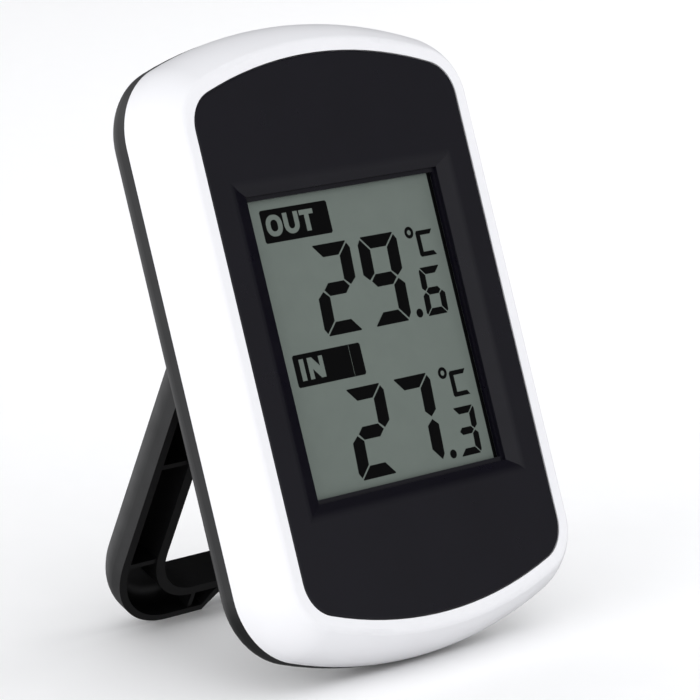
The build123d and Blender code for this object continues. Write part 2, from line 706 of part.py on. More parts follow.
SPRING = cell_span[1] - cell_span[0] - CELL_LENGTH
PLATE_HALF = 4.0
CONTACT_FRONT, CONTACT_BACK = 8.6, 17.4
TAIL_FRONT = 5.8
lower_spring = coil_spring(CELL_X, cell_span[0], SPRING)
upper_spring = coil_spring(-CELL_X, cell_span[1] - SPRING + 0.15, SPRING)
with BuildPart() as positive_contact:
    add(block(PLATE_HALF, cell_span[1], BAY_TOP, CONTACT_FRONT, CONTACT_BACK, x=CELL_X))
    add(block(1.0, cell_span[1], BAY_TOP, TAIL_FRONT, CONTACT_FRONT, x=CELL_X))
finish(positive_contact, "positive_contact")

with BuildPart() as negative_contact:
    add(block(PLATE_HALF, cell_span[1], BAY_TOP, CONTACT_FRONT, CONTACT_BACK, x=-CELL_X))
    add(block(1.0, cell_span[1], BAY_TOP, TAIL_FRONT, CONTACT_FRONT, x=-CELL_X))
    add(upper_spring)
finish(negative_contact, "negative_contact")

with BuildPart() as link_contact:
    add(block(9.8, BAY_BOTTOM, cell_span[0], CONTACT_FRONT, CONTACT_BACK))
    add(lower_spring)
finish(link_contact, "link_contact")

WIRE_DEPTH = 6.1
for wire_name, side in (("red_wire", 1), ("black_wire", -1)):
    supply_points = [
        (side * (CELL_X + 1.0), BAY_TOP - 0.2, WIRE_DEPTH),
        (side * 12.0, BAY_TOP - 2.0, WIRE_DEPTH),
        (side * 18.1, 18.0, WIRE_DEPTH),
        (side * 18.2, -2.0, WIRE_DEPTH),
        (side * 18.0, -28.4, WIRE_DEPTH),
        (side * 18.0, -28.4, BOARD_FRONT),
    ]
    bent_wire(wire_name, supply_points, (4.0, 5.0, 30.0, 0.9), 0.35)

# ---------------------------------------------------------------- leg: the fold-out loop
leg_tilt = radians(LEG_ANGLE - LEAN)
HINGE = FACE.from_local_coords((0, HINGE_Y, -HINGE_DEPTH))
LEG_FRONT = Vector(0, -cos(leg_tilt), -sin(leg_tilt))
LEG_UP = Vector(0, -sin(leg_tilt), cos(leg_tilt))
LEG = Plane(origin=HINGE, x_dir=(1, 0, 0), z_dir=LEG_FRONT)
LEG_AXIS_FRONT = Axis(HINGE, LEG_FRONT)
OUTER_CORNER_R = 13.0
OPENING_CORNER_R = 8.0
NOTCH_FOOT, NOTCH_ROOF, NOTCH_DEPTH = 5.7, 3.2, 2.8
CHANNEL_DEPTH = 4.6
OUTER_RIM, INNER_RIM = 1.5, 1.8
FOOT_RIM, BAR_INNER_RIM = 1.0, 1.4
CHANNEL_TOP = -4.6
RIB = 0.8
RIB_DROPS = (-17.0, -35.0)
BAR_RIB_X = 8.45
STOP_REACH = 3.78


def notch(grow):
    """Finger notch in the middle of the foot, as a sketch on the rim of the channel."""
    with BuildSketch(LEG.offset(LEG_RIM)) as shape:
        with BuildLine():
            Polyline(
                (-NOTCH_FOOT - grow, -LEG_LENGTH - 1),
                (-NOTCH_FOOT - grow, -LEG_LENGTH + 0.2),
                (-NOTCH_ROOF - grow, -LEG_LENGTH + NOTCH_DEPTH + grow),
                (NOTCH_ROOF + grow, -LEG_LENGTH + NOTCH_DEPTH + grow),
                (NOTCH_FOOT + grow, -LEG_LENGTH + 0.2),
                (NOTCH_FOOT + grow, -LEG_LENGTH - 1),
                close=True,
            )
        make_face()
        fillet(shape.vertices().group_by(Axis.Y)[-1], 1.4)
    return shape.sketch


def loop_sketch(half_w, foot, corner_r, opening_half_w, opening_foot, opening_r, top):
    """Three-sided loop, open at the top, between an outer and an inner rounded outline."""
    with BuildSketch(LEG.offset(LEG_RIM)) as outer:
        with Locations((0, (top + foot) / 2)):
            Rectangle(2 * half_w, top - foot)
        fillet(outer.vertices().group_by(Axis.Y)[0], corner_r)
    with BuildSketch(LEG.offset(LEG_RIM)) as inner:
        with Locations((0, (top + opening_foot) / 2)):
            Rectangle(2 * opening_half_w, top - opening_foot)
        fillet(inner.vertices().group_by(Axis.Y)[0], opening_r)
    return outer.sketch - inner.sketch


def leg_channel():
    """Hollow side of the leg, which faces the body."""
    channel = loop_sketch(
        LEG_HALF_W - OUTER_RIM,
        -LEG_LENGTH + FOOT_RIM,
        OUTER_CORNER_R - OUTER_RIM,
        LEG_OPENING_HALF_W + INNER_RIM,
        -LEG_LENGTH + LEG_BAR - BAR_INNER_RIM,
        OPENING_CORNER_R + INNER_RIM,
        CHANNEL_TOP,
    )
    thumb = notch(FOOT_RIM)
    with BuildPart() as hollow:
        extrude(channel, amount=-CHANNEL_DEPTH)
        deep = hollow.faces().sort_by(LEG_AXIS_FRONT)[0].edges()
        outer_edges = [e for e in deep if is_outer_edge(e, LEG_HALF_W - OUTER_RIM, FOOT_RIM)]
        fillet(outer_edges, 2.4)
        extrude(thumb, amount=-CHANNEL_DEPTH, mode=Mode.SUBTRACT)
    return hollow.part


def is_outer_edge(edge, half_w, foot_gap):
    """True on the outer sides, the foot and the two big corners of a loop."""
    middle = LEG.to_local_coords(edge @ 0.5)
    on_side = abs(abs(middle.X) - half_w) < 0.01
    on_foot = abs(middle.Y + LEG_LENGTH - foot_gap) < 0.01
    on_corner = abs(middle.X) > LEG_OPENING_HALF_W and middle.Y < -LEG_LENGTH + OUTER_CORNER_R * 0.5
    return on_side or on_foot or on_corner


def side_profile():
    """Side view of the whole leg: straight, with a round end and a stop heel at the hinge."""
    edge_on = Plane(origin=HINGE - Vector(LEG_HALF_W, 0, 0), x_dir=LEG_UP, z_dir=(1, 0, 0))
    stop_y = STOP_REACH * cos(radians(LEG_ANGLE))
    stop_z = -STOP_REACH * sin(radians(LEG_ANGLE))
    slide = (stop_z - LEG_BACK) / cos(radians(LEG_ANGLE))
    heel_y = stop_y - slide * sin(radians(LEG_ANGLE))
    heel = [(0, 0), (LEG_RIM, 0), (3.1, -1.8), (stop_y, stop_z), (heel_y, LEG_BACK), (0, LEG_BACK)]
    with BuildPart() as profile:
        with BuildSketch(edge_on):
            Circle(LEG_RIM)
            with Locations((-LEG_LENGTH / 2 - 1, (LEG_RIM + LEG_BACK) / 2)):
                Rectangle(LEG_LENGTH + 2, LEG_RIM - LEG_BACK)
            with BuildLine():
                Polyline(*heel, close=True)
            make_face()
        extrude(amount=2 * LEG_HALF_W)
    return profile.part


LEG_TOP = 4.0
loop = loop_sketch(
    LEG_HALF_W,
    -LEG_LENGTH,
    OUTER_CORNER_R,
    LEG_OPENING_HALF_W,
    -LEG_LENGTH + LEG_BAR,
    OPENING_CORNER_R,
    LEG_TOP,
)
thumb_notch = notch(0)
hollow_side = leg_channel()
leg_profile = side_profile()
with BuildPart() as leg:
    extrude(loop, amount=LEG_BACK - LEG_RIM)
    back_edges = leg.faces().sort_by(LEG_AXIS_FRONT)[0].edges()
    fillet([e for e in back_edges if is_outer_edge(e, LEG_HALF_W, 0)], LEG_EDGE_R)
    add(leg_profile, mode=Mode.INTERSECT)
    add(hollow_side, mode=Mode.SUBTRACT)
    extrude(thumb_notch, amount=LEG_BACK - LEG_RIM, mode=Mode.SUBTRACT)
    with BuildSketch(LEG.offset(LEG_RIM - 0.3)):
        arm_middle = (LEG_HALF_W + LEG_OPENING_HALF_W) / 2
        with Locations([(side * arm_middle, drop) for drop in RIB_DROPS for side in (-1, 1)]):
            Rectangle(LEG_HALF_W - LEG_OPENING_HALF_W - 2, RIB)
        with Locations([(side * BAR_RIB_X, -LEG_LENGTH + LEG_BAR / 2) for side in (-1, 1)]):
            Rectangle(RIB, LEG_BAR - 1.4)
    extrude(amount=-CHANNEL_DEPTH + 0.2)
    for pin_start in (-LEG_OPENING_HALF_W - 1, CORE_HALF_W - CORE_WALL + 0.2):
        pin_length = LEG_OPENING_HALF_W + 1 - (CORE_HALF_W - CORE_WALL + 0.2)
        with BuildSketch(Plane(origin=HINGE + Vector(pin_start, 0, 0), z_dir=(1, 0, 0))):
            Circle(PIN_R)
        extrude(amount=pin_length)
finish(leg, "folding_leg")
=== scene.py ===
import json
import math

import bmesh
import bpy
from mathutils import Matrix, Vector


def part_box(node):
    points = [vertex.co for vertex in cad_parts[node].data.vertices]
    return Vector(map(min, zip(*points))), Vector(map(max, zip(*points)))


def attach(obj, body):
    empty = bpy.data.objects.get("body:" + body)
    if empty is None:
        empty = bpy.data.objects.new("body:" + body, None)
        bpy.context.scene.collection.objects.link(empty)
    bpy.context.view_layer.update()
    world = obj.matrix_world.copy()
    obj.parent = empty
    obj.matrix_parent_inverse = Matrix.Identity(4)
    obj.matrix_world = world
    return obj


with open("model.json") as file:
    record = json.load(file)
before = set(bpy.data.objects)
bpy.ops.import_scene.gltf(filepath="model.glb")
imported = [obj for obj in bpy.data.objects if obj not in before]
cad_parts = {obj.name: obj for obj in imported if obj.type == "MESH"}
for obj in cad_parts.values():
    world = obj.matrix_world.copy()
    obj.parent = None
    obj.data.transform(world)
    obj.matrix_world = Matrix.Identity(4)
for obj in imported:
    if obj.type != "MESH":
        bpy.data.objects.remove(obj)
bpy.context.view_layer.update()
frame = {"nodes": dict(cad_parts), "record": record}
MM = 0.001


# ---------------------------------------------------------------- studio
# The unit stands alone on a sheet of matt white card, in even white light with soft lamps on its left,
# its right and in front. What its glossy faces mirror is white behind it and on its left, and fades
# to dark on its right, which gives the black mouldings their depth.
CAMERA_PLACE = Vector((-378.5, -387.8, 166.5)) * MM
CAMERA_AIM = Vector((-3.7, -8.1, 45.0)) * MM
CAMERA_LENS = 195.4
CAMERA_ROLL = math.radians(0.65)
AIR_LIGHT = 0.9
AIR_TINT = (0.975, 0.98, 1.0)
DARK_SIDE = Vector((1.0, 0.25, 0.25)).normalized()
TABLE_REACH = 0.85
TABLE_SIDES = 96
LAMP_WIDTH, LAMP_HEIGHT = 0.6, 0.5
# Each lamp's place in metres and its power in watts.
LAMPS = {
    "left_softbox": ((-0.9, -0.1, 0.3), 3.4),
    "right_softbox": ((0.9, -0.1, 0.3), 3.9),
    "front_softbox": ((-0.1, -1.0, 0.4), 1.4),
}
# How the mirrored surroundings fade along a direction: from a place to a place, from a level to a level.
FADINGS = (
    (DARK_SIDE, (0.05, 0.85, 1.0, 0.0)),
    (Vector((0, 1, 0)), (-0.95, 0.7, 0.62, 1.0)),
    (Vector((0, 0, 1)), (-0.6, -0.25, 0.2, 1.0)),
    (Vector((0, 0, 1)), (0.35, 0.8, 1.0, 0.3)),
)

camera_data = bpy.data.cameras.new("studio_camera")
camera_data.lens = CAMERA_LENS
camera_data.clip_start = 0.01
camera_data.clip_end = 20
camera = bpy.data.objects.new("studio_camera", camera_data)
bpy.context.scene.collection.objects.link(camera)
look = (CAMERA_AIM - CAMERA_PLACE).to_track_quat("-Z", "Y").to_matrix().to_4x4()
camera.matrix_world = Matrix.Translation(CAMERA_PLACE) @ look @ Matrix.Rotation(CAMERA_ROLL, 4, "Z")
bpy.context.scene.camera = camera
bpy.context.scene.view_settings.view_transform = "Standard"


def spread(tree, value, start, end, low, high):
    """A value between start and end, spread evenly over low to high."""
    spreader = tree.nodes.new("ShaderNodeMapRange")
    spreader.inputs["From Min"].default_value = start
    spreader.inputs["From Max"].default_value = end
    spreader.inputs["To Min"].default_value = low
    spreader.inputs["To Max"].default_value = high
    tree.links.new(value, spreader.inputs["Value"])
    return spreader.outputs["Result"]


def combine(tree, operation, first, second):
    """Two values put together by a sum, product or comparison. The second may be a plain number."""
    step = tree.nodes.new("ShaderNodeMath")
    step.operation = operation
    tree.links.new(first, step.inputs[0])
    if isinstance(second, float):
        step.inputs[1].default_value = second
    else:
        tree.links.new(second, step.inputs[1])
    return step.outputs["Value"]


def along(tree, direction, source="Object"):
    """How far a point lies along a direction, from the origin."""
    place = tree.nodes.new("ShaderNodeTexCoord")
    product = tree.nodes.new("ShaderNodeVectorMath")
    product.operation = "DOT_PRODUCT"
    product.inputs[1].default_value = direction
    tree.links.new(place.outputs[source], product.inputs[0])
    return product.outputs["Value"]


world = bpy.data.worlds.new("white_surroundings")
world.use_nodes = True
bpy.context.scene.world = world
sky = world.node_tree
background = sky.nodes["Background"]
background.inputs["Color"].default_value = (*AIR_TINT, 1)
fadings = [spread(sky, along(sky, direction, "Generated"), *limits) for direction, limits in FADINGS]
mirrored = fadings[0]
for fading in fadings[1:]:
    mirrored = combine(sky, "MULTIPLY", mirrored, fading)
ray = sky.nodes.new("ShaderNodeLightPath")
glossy_or_not = sky.nodes.new("ShaderNodeMix")
glossy_or_not.inputs["A"].default_value = AIR_LIGHT
sky.links.new(ray.outputs["Is Glossy Ray"], glossy_or_not.inputs["Factor"])
sky.links.new(mirrored, glossy_or_not.inputs["B"])
seen_or_not = sky.nodes.new("ShaderNodeMix")
seen_or_not.inputs["B"].default_value = 1.0
sky.links.new(ray.outputs["Is Camera Ray"], seen_or_not.inputs["Factor"])
sky.links.new(glossy_or_not.outputs["Result"], seen_or_not.inputs["A"])
sky.links.new(seen_or_not.outputs["Result"], background.inputs["Strength"])

for lamp_name, (lamp_place, power) in LAMPS.items():
    lamp = bpy.data.lights.new(lamp_name, "AREA")
    lamp.shape = "RECTANGLE"
    lamp.size = LAMP_WIDTH
    lamp.size_y = LAMP_HEIGHT
    lamp.energy = power
    lamp_holder = bpy.data.objects.new(lamp_name, lamp)
    bpy.context.scene.collection.objects.link(lamp_holder)
    lamp_holder.location = lamp_place
    lamp_holder.rotation_mode = "QUATERNION"
    lamp_holder.rotation_quaternion = (CAMERA_AIM - Vector(lamp_place)).to_track_quat("-Z", "Y")
    lamp_holder.visible_glossy = False

table_mesh = bpy.data.meshes.new("white_table")
table_shape = bmesh.new()
bmesh.ops.create_circle(table_shape, cap_ends=True, radius=TABLE_REACH, segments=TABLE_SIDES)
table_shape.to_mesh(table_mesh)
table_shape.free()
table = bpy.data.objects.new("white_table", table_mesh)
bpy.context.scene.collection.objects.link(table)
table.visible_glossy = False


CLOUD_LOW, CLOUD_HIGH = 0.3, 0.7


def material(name, colour, roughness, metal=0.0, specular=0.5):
    """A new surface with its own colour, roughness, metal and specular values, ready for textures."""
    made = bpy.data.materials.new(name)
    made.use_nodes = True
    shader = made.node_tree.nodes["Principled BSDF"]
    shader.inputs["Base Color"].default_value = (*colour, 1)
    shader.inputs["Roughness"].default_value = roughness
    shader.inputs["Metallic"].default_value = metal
    shader.inputs["Specular IOR Level"].default_value = specular
    return made


def clouds(made, size, detail=3.0, stretch=(1, 1, 1)):
    """Cloudy values, mostly from CLOUD_LOW to CLOUD_HIGH, with clouds of about this size in metres."""
    nodes, links = made.node_tree.nodes, made.node_tree.links
    place = nodes.new("ShaderNodeTexCoord")
    scaled = nodes.new("ShaderNodeMapping")
    scaled.inputs["Scale"].default_value = [share / size for share in stretch]
    cloud = nodes.new("ShaderNodeTexNoise")
    cloud.inputs["Scale"].default_value = 1.0
    cloud.inputs["Detail"].default_value = detail
    links.new(place.outputs["Object"], scaled.inputs["Vector"])
    links.new(scaled.outputs["Vector"], cloud.inputs["Vector"])
    return cloud.outputs["Fac"]


def tint(made, value, first, second):
    """Colours a surface from the first colour, where a value is 0, to the second, where it is 1."""
    mixer = made.node_tree.nodes.new("ShaderNodeMix")
    mixer.data_type = "RGBA"
    mixer.inputs["A"].default_value = (*first, 1)
    mixer.inputs["B"].default_value = (*second, 1)
    made.node_tree.links.new(value, mixer.inputs["Factor"])
    base = made.node_tree.nodes["Principled BSDF"].inputs["Base Color"]
    made.node_tree.links.new(mixer.outputs["Result"], base)


def mottled(made, size, first, second):
    """Colours a surface with soft clouds that run from one shade to another."""
    tint(made, spread(made.node_tree, clouds(made, size), CLOUD_LOW, CLOUD_HIGH, 0.0, 1.0), first, second)


def gloss(made, value, low, high):
    """Varies a surface's roughness from low to high with a cloudy value."""
    rough = made.node_tree.nodes["Principled BSDF"].inputs["Roughness"]
    made.node_tree.links.new(spread(made.node_tree, value, CLOUD_LOW, CLOUD_HIGH, low, high), rough)


def emboss(made, value, depth):
    """Raises a surface's shading by a value, depth metres for a value of 1."""
    bump = made.node_tree.nodes.new("ShaderNodeBump")
    bump.inputs["Strength"].default_value = 1.0
    bump.inputs["Distance"].default_value = depth
    made.node_tree.links.new(value, bump.inputs["Height"])
    normal = made.node_tree.nodes["Principled BSDF"].inputs["Normal"]
    made.node_tree.links.new(bump.outputs["Normal"], normal)


def moulded(name, dark, light, rough, grain, depth, specular=0.5, mottle=0.012, stretch=(1, 1, 1)):
    """Moulded or cast surface: two close shades in soft clouds, uneven gloss, and a fine grain."""
    made = material(name, dark, rough[0], specular=specular)
    mottled(made, mottle, dark, light)
    gloss(made, clouds(made, mottle * 0.4, detail=5.0), *rough)
    emboss(made, clouds(made, grain, detail=4.0, stretch=stretch), depth)
    return made


card = moulded("white_card", (0.965, 0.965, 0.965), (0.97, 0.97, 0.97), (0.7, 0.8), 0.002, 0.00001)
table.data.materials.append(card)


# ---------------------------------------------------------------- front surround
# Injection moulded in glossy white ABS, with a bulging side wall and a narrow flat round the fascia.
# Its gloss is slightly uneven, as on any polished mould.
def dress(made, *nodes):
    """Gives CAD nodes this surface in place of their plain one."""
    for node in nodes:
        for holder in frame["nodes"][node].material_slots:
            holder.material = made


white_abs = moulded(
    "white_abs", (0.765, 0.765, 0.785), (0.78, 0.78, 0.80), (0.3, 0.36), 0.0012, 0.0000012, mottle=0.02
)
dress(white_abs, "front_frame")


# ---------------------------------------------------------------- fascia
# A separate charcoal ABS moulding, pressed into the surround and held by the display holder's stakes.
# Its mould is spark eroded, which leaves a fine satin grain.
charcoal_abs = moulded(
    "charcoal_abs", (0.0024, 0.0019, 0.0052), (0.0032, 0.0026, 0.0064), (0.27, 0.35), 0.00022, 0.000002
)
dress(charcoal_abs, "front_panel")


# ---------------------------------------------------------------- display
# A reflective liquid crystal display: two glass plates with a matt polarising film in front and a
# silvered film behind. Where no figure is driven it looks grey-green and slightly grainy.
film = moulded(
    "display_film", (0.118, 0.141, 0.126), (0.124, 0.148, 0.132), (0.40, 0.48), 0.00025, 0.000001,
    specular=0.3, mottle=0.003
)
dress(film, "front_polariser")

GLASS_IOR = 1.52
plate_glass = material("plate_glass", (0.90, 0.96, 0.92), 0.03)
glass_shader = plate_glass.node_tree.nodes["Principled BSDF"]
glass_shader.inputs["Transmission Weight"].default_value = 1.0
glass_shader.inputs["IOR"].default_value = GLASS_IOR
mottled(plate_glass, 0.02, (0.90, 0.96, 0.92), (0.93, 0.97, 0.94))
dress(plate_glass, "front_glass", "rear_glass")

silvered_film = material("silvered_film", (0.62, 0.64, 0.62), 0.35, metal=1.0)
gloss(silvered_film, clouds(silvered_film, 0.0015), 0.3, 0.42)
emboss(silvered_film, clouds(silvered_film, 0.0004, stretch=(1, 0.1, 0.1)), 0.000004)
dress(silvered_film, "display_reflector")


# ---------------------------------------------------------------- display figures
# The driven figures and the two printed labels, as flat dark shapes on the film: a large two-figure
# reading with small tenths and a degree sign for outside, and the same below it for inside.

# Directions of the leaning body: sideways is to the right as the display is read, upward runs up the
# body, and backward runs from the front face into it, square to both.
wall_face = next(mount for mount in frame["record"]["mounts"] if mount["name"] == "wall_face")
BACKWARD = Vector(wall_face["axis"]).normalized()
SIDEWAYS = Vector((1, 0, 0))
UPWARD = SIDEWAYS.cross(BACKWARD)

INK_THICKNESS = 0.02 * MM
# Sizes on the display are in millimetres, from the middle of the film.
BIG = {"width": 7.95, "height": 13.2, "bar": 1.87, "post": 2.25, "cut": (0.8, 1.1), "gap": 0.2}
SMALL = {"width": 4.5, "height": 7.2, "bar": 1.05, "post": 1.15, "cut": (0.4, 0.5), "gap": 0.13}
SLANT = math.tan(math.radians(3.2))
WAIST_SLOPE = 0.8               # slope of the cut between upper and lower segments
TIP_GAPS = 1.7                  # how far the middle segment's tips are pulled in, in gaps
SEGMENTS = {"2": "abged", "9": "abcdfg", "6": "acdefg", "7": "abc", "3": "abcdg"}
ROWS = {"outside": (7.36, "296"), "inside": (-13.81, "273")}    # height of the middle, figures
TENS_X, UNITS_X, TENTHS_X = -4.87, 4.72, 13.95
TENTHS_DROP = 2.98
POINT = (10.12, 5.87, 0.66)             # place, drop below the row's middle, radius
DEGREE = (11.75, 6.02, 0.88, 0.38)      # place, rise above the row's middle, both radii of the ring
SCALE_SIGN = (13.0, 16.4, 2.18, 6.06)   # left, right, low, high
SIGN_BAR, SIGN_POST = 0.68, 0.85        # thickness of its level and upright strokes
SIGN_CORNER = (0.25, 0.3)
SIGN_TAPER = 0.5

film_low, film_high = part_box("front_polariser")
film_centre = (film_low + film_high) / 2
film_depths = [corner.co.dot(BACKWARD) for corner in frame["nodes"]["front_polariser"].data.vertices]
film_front = film_centre - BACKWARD * (film_centre.dot(BACKWARD) - min(film_depths))

ink = moulded(
    "display_ink", (0.0008, 0.0008, 0.001), (0.0012, 0.0012, 0.0014), (0.40, 0.48), 0.00025, 0.000001,
    specular=0.12, mottle=0.003
)


def flat_piece(name, outlines, surface, centre, across, up, thickness):
    """A thin flat piece from closed outlines in millimetres. An outline inside another is a hole."""
    curve = bpy.data.curves.new(name, "CURVE")
    curve.dimensions = "2D"
    curve.fill_mode = "BOTH"
    curve.extrude = thickness / 2
    for outline in outlines:
        line = curve.splines.new("POLY")
        line.points.add(len(outline) - 1)
        line.use_cyclic_u = True
        for point, (x, y) in zip(line.points, outline):
            point.co = (x * MM, y * MM, 0, 1)
    holder = bpy.data.objects.new(name, curve)
    mesh = bpy.data.meshes.new_from_object(holder)
    bpy.data.objects.remove(holder)
    facing = across.cross(up)
    turn = Matrix((across, up, facing)).transposed().to_4x4()
    mesh.transform(Matrix.Translation(centre + facing * thickness / 2) @ turn)
    mesh.materials.clear()
    mesh.materials.append(surface)
    piece = bpy.data.objects.new(name, mesh)
    bpy.context.scene.collection.objects.link(piece)
    return piece


def kept(shape, across, up, limit):
    """The part of a convex outline where across * x + up * y is at most a limit."""
    left = []
    for start, end in zip(shape, shape[1:] + shape[:1]):
        over_start = across * start[0] + up * start[1] - limit
        over_end = across * end[0] + up * end[1] - limit
        if over_start <= 0:
            left.append(start)
        if over_start * over_end < 0:
            share = over_start / (over_start - over_end)
            left.append((start[0] + share * (end[0] - start[0]), start[1] + share * (end[1] - start[1])))
    return left


def seven_segments(figure, centre_x, centre_y, width, height, bar, post, cut, gap):
    """Outlines of the lit segments of a figure. Bars are its level segments, posts its upright ones."""
    half_w, half_h = width / 2, height / 2
    block = [(half_w, half_h), (-half_w, half_h), (-half_w, -half_h), (half_w, -half_h)]
    cut_x, cut_y = cut
    for side, end in ((1, 1), (1, -1), (-1, 1), (-1, -1)):
        block = kept(block, side / cut_x, end / cut_y, half_w / cut_x + half_h / cut_y - 1)
    mitre = half_w - post - half_h + bar
    level = kept(block, 0, -1, bar - half_h)
    level = kept(kept(level, 1, -1, mitre - gap), -1, -1, mitre - gap)
    upright = kept(kept(block, -1, 0, post - half_w), -1, 1, -mitre - gap)
    waist = half_w - post / 2
    upright = kept(upright, WAIST_SLOPE, -1, WAIST_SLOPE * waist - gap)
    upright = kept(upright, -WAIST_SLOPE, -1, -WAIST_SLOPE * waist - gap)
    tip = waist - TIP_GAPS * gap
    middle = kept(kept([(tip, 0), (0, tip), (-tip, 0), (0, -tip)], 0, 1, bar / 2), 0, -1, bar / 2)
    shapes = {
        "a": level,
        "b": upright,
        "c": [(x, -y) for x, y in upright],
        "d": [(x, -y) for x, y in level],
        "e": [(-x, -y) for x, y in upright],
        "f": [(-x, y) for x, y in upright],
        "g": middle,
    }
    return [[(centre_x + x + y * SLANT, centre_y + y) for x, y in shapes[lit]] for lit in SEGMENTS[figure]]


def circle(centre_x, centre_y, radius, sides=32):
    """Outline of a disc."""
    turns = [2 * math.pi * step / sides for step in range(sides)]
    return [(centre_x + radius * math.cos(turn), centre_y + radius * math.sin(turn)) for turn in turns]


def scale_sign(row_y):
    """Outlines of the degree ring and of the open sign after it."""
    degree_x, degree_rise, degree_outer, degree_inner = DEGREE
    degree_y = row_y + degree_rise
    left, right, low, high = SCALE_SIGN
    low, high = row_y + low, row_y + high
    corner_x, corner_y = SIGN_CORNER
    sign = [
        (left + corner_x, high), (right, high), (right - SIGN_TAPER, high - SIGN_BAR),
        (left + SIGN_POST, high - SIGN_BAR), (left + SIGN_POST, low + SIGN_BAR),
        (right - SIGN_TAPER, low + SIGN_BAR), (right, low), (left + corner_x, low),
        (left, low + corner_y), (left, high - corner_y)
    ]
    return [circle(degree_x, degree_y, degree_outer), circle(degree_x, degree_y, degree_inner), sign]


def display_art(name, outlines):
    """Flat dark shapes lying on the front of the display."""
    piece = flat_piece(name, outlines, ink, film_front, SIDEWAYS, UPWARD, INK_THICKNESS)
    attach(piece, "case")


for row, (row_y, figures) in ROWS.items():
    display_art(row + "_tens", seven_segments(figures[0], TENS_X, row_y, **BIG))
    display_art(row + "_units", seven_segments(figures[1], UNITS_X, row_y, **BIG))
    tenths = seven_segments(figures[2], TENTHS_X, row_y - TENTHS_DROP, **SMALL)
    point_x, point_drop, point_r = POINT
    display_art(row + "_tenths", [*tenths, circle(point_x, row_y - point_drop, point_r)])
    display_art(row + "_scale", scale_sign(row_y))

# Each label's left, right, low and high edges, and the place of each letter from the left edge.
LABELS = {
    "outside": ((-16.3, -3.1, 15.35, 20.15), (("O", 0.75), ("U", 4.2), ("T", 7.45))),
    "inside": ((-16.55, -3.15, -5.6, -0.9), (("I", 1.05), ("N", 2.65))),
}
LABEL_CORNER = 0.25
LETTER_HEIGHT = 3.15
LETTER_RISE = 0.85
STEM = 0.92
LEVEL_STROKE = STEM * 0.8
O_WIDTH, O_CORNER, O_HOLE_CORNER = 3.15, 1.4, 0.6
U_HALF_WIDTH, U_BOWL_HEIGHT, U_STEPS = 1.5, 1.3, 12
T_WIDTH = 2.75
N_WIDTH, N_STEM, N_NOTCH = 3.05, STEM * 0.9, 1.75
DIVIDER_LEFT, DIVIDER_WIDTH, DIVIDER_MARGIN = -5.45, 0.08, 0.1


def rounded_box(left, right, low, high, radius):
    """Outline of a rectangle with cut corners."""
    return [
        (left + radius, low), (right - radius, low), (right, low + radius), (right, high - radius),
        (right - radius, high), (left + radius, high), (left, high - radius), (left, low + radius)
    ]


def oval(left, low, width, height, corner, steps=8):
    """Outline of an upright letter bowl: a rectangle with round corners."""
    right_centre, left_centre = left + width - corner, left + corner
    high_centre, low_centre = low + height - corner, low + corner
    centres = (
        (right_centre, high_centre), (left_centre, high_centre), (left_centre, low_centre),
        (right_centre, low_centre)
    )
    outline = []
    for quarter, (centre_x, centre_y) in enumerate(centres):
        for step in range(steps + 1):
            turn = math.pi / 2 * (quarter + step / steps)
            outline.append((centre_x + corner * math.cos(turn), centre_y + corner * math.sin(turn)))
    return outline


def half_bowl(centre_x, centre_y, half_width, height, turns):
    """The lower half of an oval, through the given turns."""
    return [(centre_x + half_width * math.cos(turn), centre_y + height * math.sin(turn)) for turn in turns]


def letter(shape, left, low):
    """Outlines of one plain capital of a label."""
    top = low + LETTER_HEIGHT
    if shape == "O":
        hole_width, hole_height = O_WIDTH - 2 * STEM, LETTER_HEIGHT - 2 * LEVEL_STROKE
        hole = oval(left + STEM, low + LEVEL_STROKE, hole_width, hole_height, O_HOLE_CORNER)
        return [oval(left, low, O_WIDTH, LETTER_HEIGHT, O_CORNER), hole]
    if shape == "U":
        right = left + 2 * U_HALF_WIDTH
        centre_x, centre_y = left + U_HALF_WIDTH, low + U_BOWL_HEIGHT
        turns = [math.pi * (1 + step / U_STEPS) for step in range(U_STEPS + 1)]
        outer = half_bowl(centre_x, centre_y, U_HALF_WIDTH, U_BOWL_HEIGHT, turns)
        inner = half_bowl(centre_x, centre_y, U_HALF_WIDTH - STEM, U_BOWL_HEIGHT - LEVEL_STROKE, turns[::-1])
        return [[(left, top), *outer, (right, top), (right - STEM, top), *inner, (left + STEM, top)]]
    if shape == "T":
        right = left + T_WIDTH
        stem_left = left + (T_WIDTH - STEM) / 2
        bar_low = top - LEVEL_STROKE
        return [[
            (left, bar_low), (stem_left, bar_low), (stem_left, low), (stem_left + STEM, low),
            (stem_left + STEM, bar_low), (right, bar_low), (right, top), (left, top)
        ]]
    if shape == "I":
        return [[(left, low), (left + STEM, low), (left + STEM, top), (left, top)]]
    right = left + N_WIDTH
    return [[
        (left, low), (left + N_STEM, low), (left + N_STEM, top - N_NOTCH), (right - STEM, low),
        (right, low), (right, top), (right - N_STEM, top), (right - N_STEM, low + N_NOTCH),
        (left + STEM, top), (left, top)
    ]]


for row, (label_box, letters) in LABELS.items():
    left, right, low, high = label_box
    outlines = [rounded_box(left, right, low, high, LABEL_CORNER)]
    for shape, start in letters:
        outlines += letter(shape, left + start, low + LETTER_RISE)
    if row == "inside":
        divider_right = DIVIDER_LEFT + DIVIDER_WIDTH
        slit_low, slit_high = low + DIVIDER_MARGIN, high - DIVIDER_MARGIN
        outlines.append([
            (DIVIDER_LEFT, slit_low), (divider_right, slit_low), (divider_right, slit_high),
            (DIVIDER_LEFT, slit_high)
        ])
    display_art(row + "_label", outlines)

